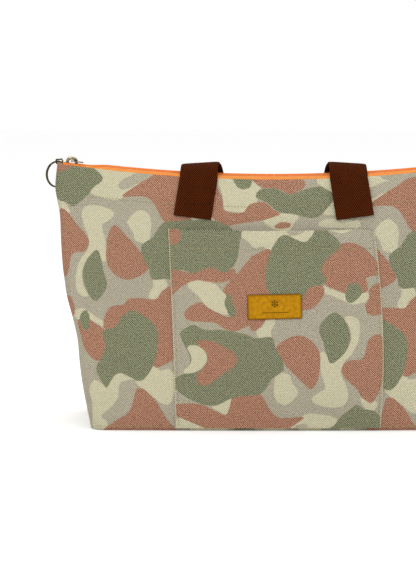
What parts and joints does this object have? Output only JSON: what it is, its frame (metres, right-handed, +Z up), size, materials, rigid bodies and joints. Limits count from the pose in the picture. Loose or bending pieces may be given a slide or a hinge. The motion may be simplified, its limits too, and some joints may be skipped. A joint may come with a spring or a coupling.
{
  "type": "insulated cooler bag",
  "caption": "Zip-top insulated tote in printed canvas, with a slip pocket, leather label, foam walls, wipe-clean lining and webbing handles.",
  "frame": {"origin": "centre of the underside of the base", "axes": "+X along the zip, -Y to the front with the pocket, +Z up"},
  "size_m": [0.4528, 0.1844, 0.2676],
  "materials": {
    "printed_canvas": "matt twill printed with a four-colour blob camouflage",
    "insulation_foam": "closed-cell foam sheet",
    "wipe_clean_lining": "silver-grey coated film",
    "stiffener_board": "plain sheet",
    "label_leather": "smooth tan leather",
    "cotton_webbing": "dark brown herringbone webbing",
    "zip_tape": "woven orange tape",
    "zip_coil": "orange nylon coil",
    "zip_end_canvas": "matt rust-brown canvas",
    "antique_brass": "antiqued, worn bright on edges",
    "ring_steel": "dark plated wire"
  },
  "bodies": {
    "bag": {"canvas_front": "printed_canvas", "canvas_back": "printed_canvas", "canvas_left": "printed_canvas", "canvas_right": "printed_canvas", "canvas_base": "printed_canvas", "facing_front": "printed_canvas", "facing_back": "printed_canvas", "foam_front": "insulation_foam", "foam_back": "insulation_foam", "foam_left": "insulation_foam", "foam_right": "insulation_foam", "foam_base": "insulation_foam", "lining_front": "wipe_clean_lining", "lining_back": "wipe_clean_lining", "lining_left": "wipe_clean_lining", "lining_right": "wipe_clean_lining", "lining_base": "wipe_clean_lining", "base_board": "stiffener_board", "front_pocket": "printed_canvas", "label_patch": "label_leather", "handle_front_leg_left": "cotton_webbing", "handle_front_leg_right": "cotton_webbing", "handle_back_leg_left": "cotton_webbing", "handle_back_leg_right": "cotton_webbing", "zip_end_left": "zip_end_canvas", "zip_end_right": "zip_end_canvas", "zip_stop": "antique_brass", "ring_eye": "antique_brass"},
    "slider": {"slider_body": "antique_brass", "slider_bridge": "antique_brass"},
    "pull": {"slider_pull": "antique_brass"},
    "zip_flap_front_left": {"zip_tape_front_left": "zip_tape", "zip_coil_front_left": "zip_coil"},
    "zip_flap_front_right": {"zip_tape_front_right": "zip_tape", "zip_coil_front_right": "zip_coil"},
    "zip_flap_back_left": {"zip_tape_back_left": "zip_tape", "zip_coil_back_left": "zip_coil"},
    "zip_flap_back_right": {"zip_tape_back_right": "zip_tape", "zip_coil_back_right": "zip_coil"},
    "ring": {"key_ring": "ring_steel"},
    "front_fold": {"handle_front_fold_left": "cotton_webbing", "handle_front_fold_right": "cotton_webbing"},
    "front_loop": {"handle_front_loop": "cotton_webbing"},
    "back_loop": {"handle_back_loop": "cotton_webbing"}
  },
  "joints": [
    {"name": "zip_travel", "type": "hinge", "parent": "bag", "child": "slider", "pos_m": [0, 0, 1.74328], "axis": [0, -1, 0], "range_deg": [0, 14.68], "deforming": ["zip_end_left"]},
    {"name": "zip_part_front_left", "type": "hinge", "parent": "bag", "child": "zip_flap_front_left", "pos_m": [-0.095, -0.0098, 0.25052], "axis": [-0.9973, 0.0378, 0.0632], "range_deg": [0, 64], "deforming": ["zip_tape_front_left", "zip_coil_front_left"]},
    {"name": "zip_part_front_right", "type": "hinge", "parent": "bag", "child": "zip_flap_front_right", "pos_m": [0.095, -0.0098, 0.25052], "axis": [-0.9973, -0.0378, -0.0632], "range_deg": [0, 64], "deforming": ["zip_tape_front_right", "zip_coil_front_right"]},
    {"name": "zip_part_back_left", "type": "hinge", "parent": "bag", "child": "zip_flap_back_left", "pos_m": [-0.095, 0.0098, 0.25052], "axis": [0.9973, 0.0378, -0.0632], "range_deg": [0, 64], "deforming": ["zip_tape_back_left", "zip_coil_back_left"]},
    {"name": "zip_part_back_right", "type": "hinge", "parent": "bag", "child": "zip_flap_back_right", "pos_m": [0.095, 0.0098, 0.25052], "axis": [0.9973, -0.0378, 0.0632], "range_deg": [0, 64], "deforming": ["zip_tape_back_right", "zip_coil_back_right"]},
    {"name": "pull_swing", "type": "hinge", "parent": "slider", "child": "pull", "pos_m": [-0.20436, 0, 0.26318], "axis": [0, -1, 0], "range_deg": [0, 165]},
    {"name": "ring_swing", "type": "hinge", "parent": "bag", "child": "ring", "pos_m": [-0.2206, 0.0122, 0.262], "axis": [0.766, 0.6428, 0], "range_deg": [0, 100]},
    {"name": "handle_lift", "type": "hinge", "parent": "bag", "child": "front_fold", "pos_m": [0, -0.016, 0.2492], "axis": [1, 0, 0], "range_deg": [0, 60]},
    {"name": "handle_front_swing", "type": "hinge", "parent": "front_fold", "child": "front_loop", "pos_m": [0, 0.0136, 0.2592], "axis": [1, 0, 0], "range_deg": [0, 98.5]},
    {"name": "handle_back_swing", "type": "hinge", "parent": "bag", "child": "back_loop", "pos_m": [0, 0.0205, 0.252], "axis": [1, 0, 0], "range_deg": [0, 158.5]}
  ],
  "couplings": [
    {"joint": "zip_part_front_left", "follows": "zip_travel", "ratio": 4.3256},
    {"joint": "zip_part_front_right", "follows": "zip_travel", "ratio": 4.3256},
    {"joint": "zip_part_back_left", "follows": "zip_travel", "ratio": 4.3256},
    {"joint": "zip_part_back_right", "follows": "zip_travel", "ratio": 4.3256},
    {"joint": "handle_front_swing", "follows": "handle_lift", "ratio": 1.6333},
    {"joint": "handle_back_swing", "follows": "handle_lift", "ratio": 2.6333}
  ]
}
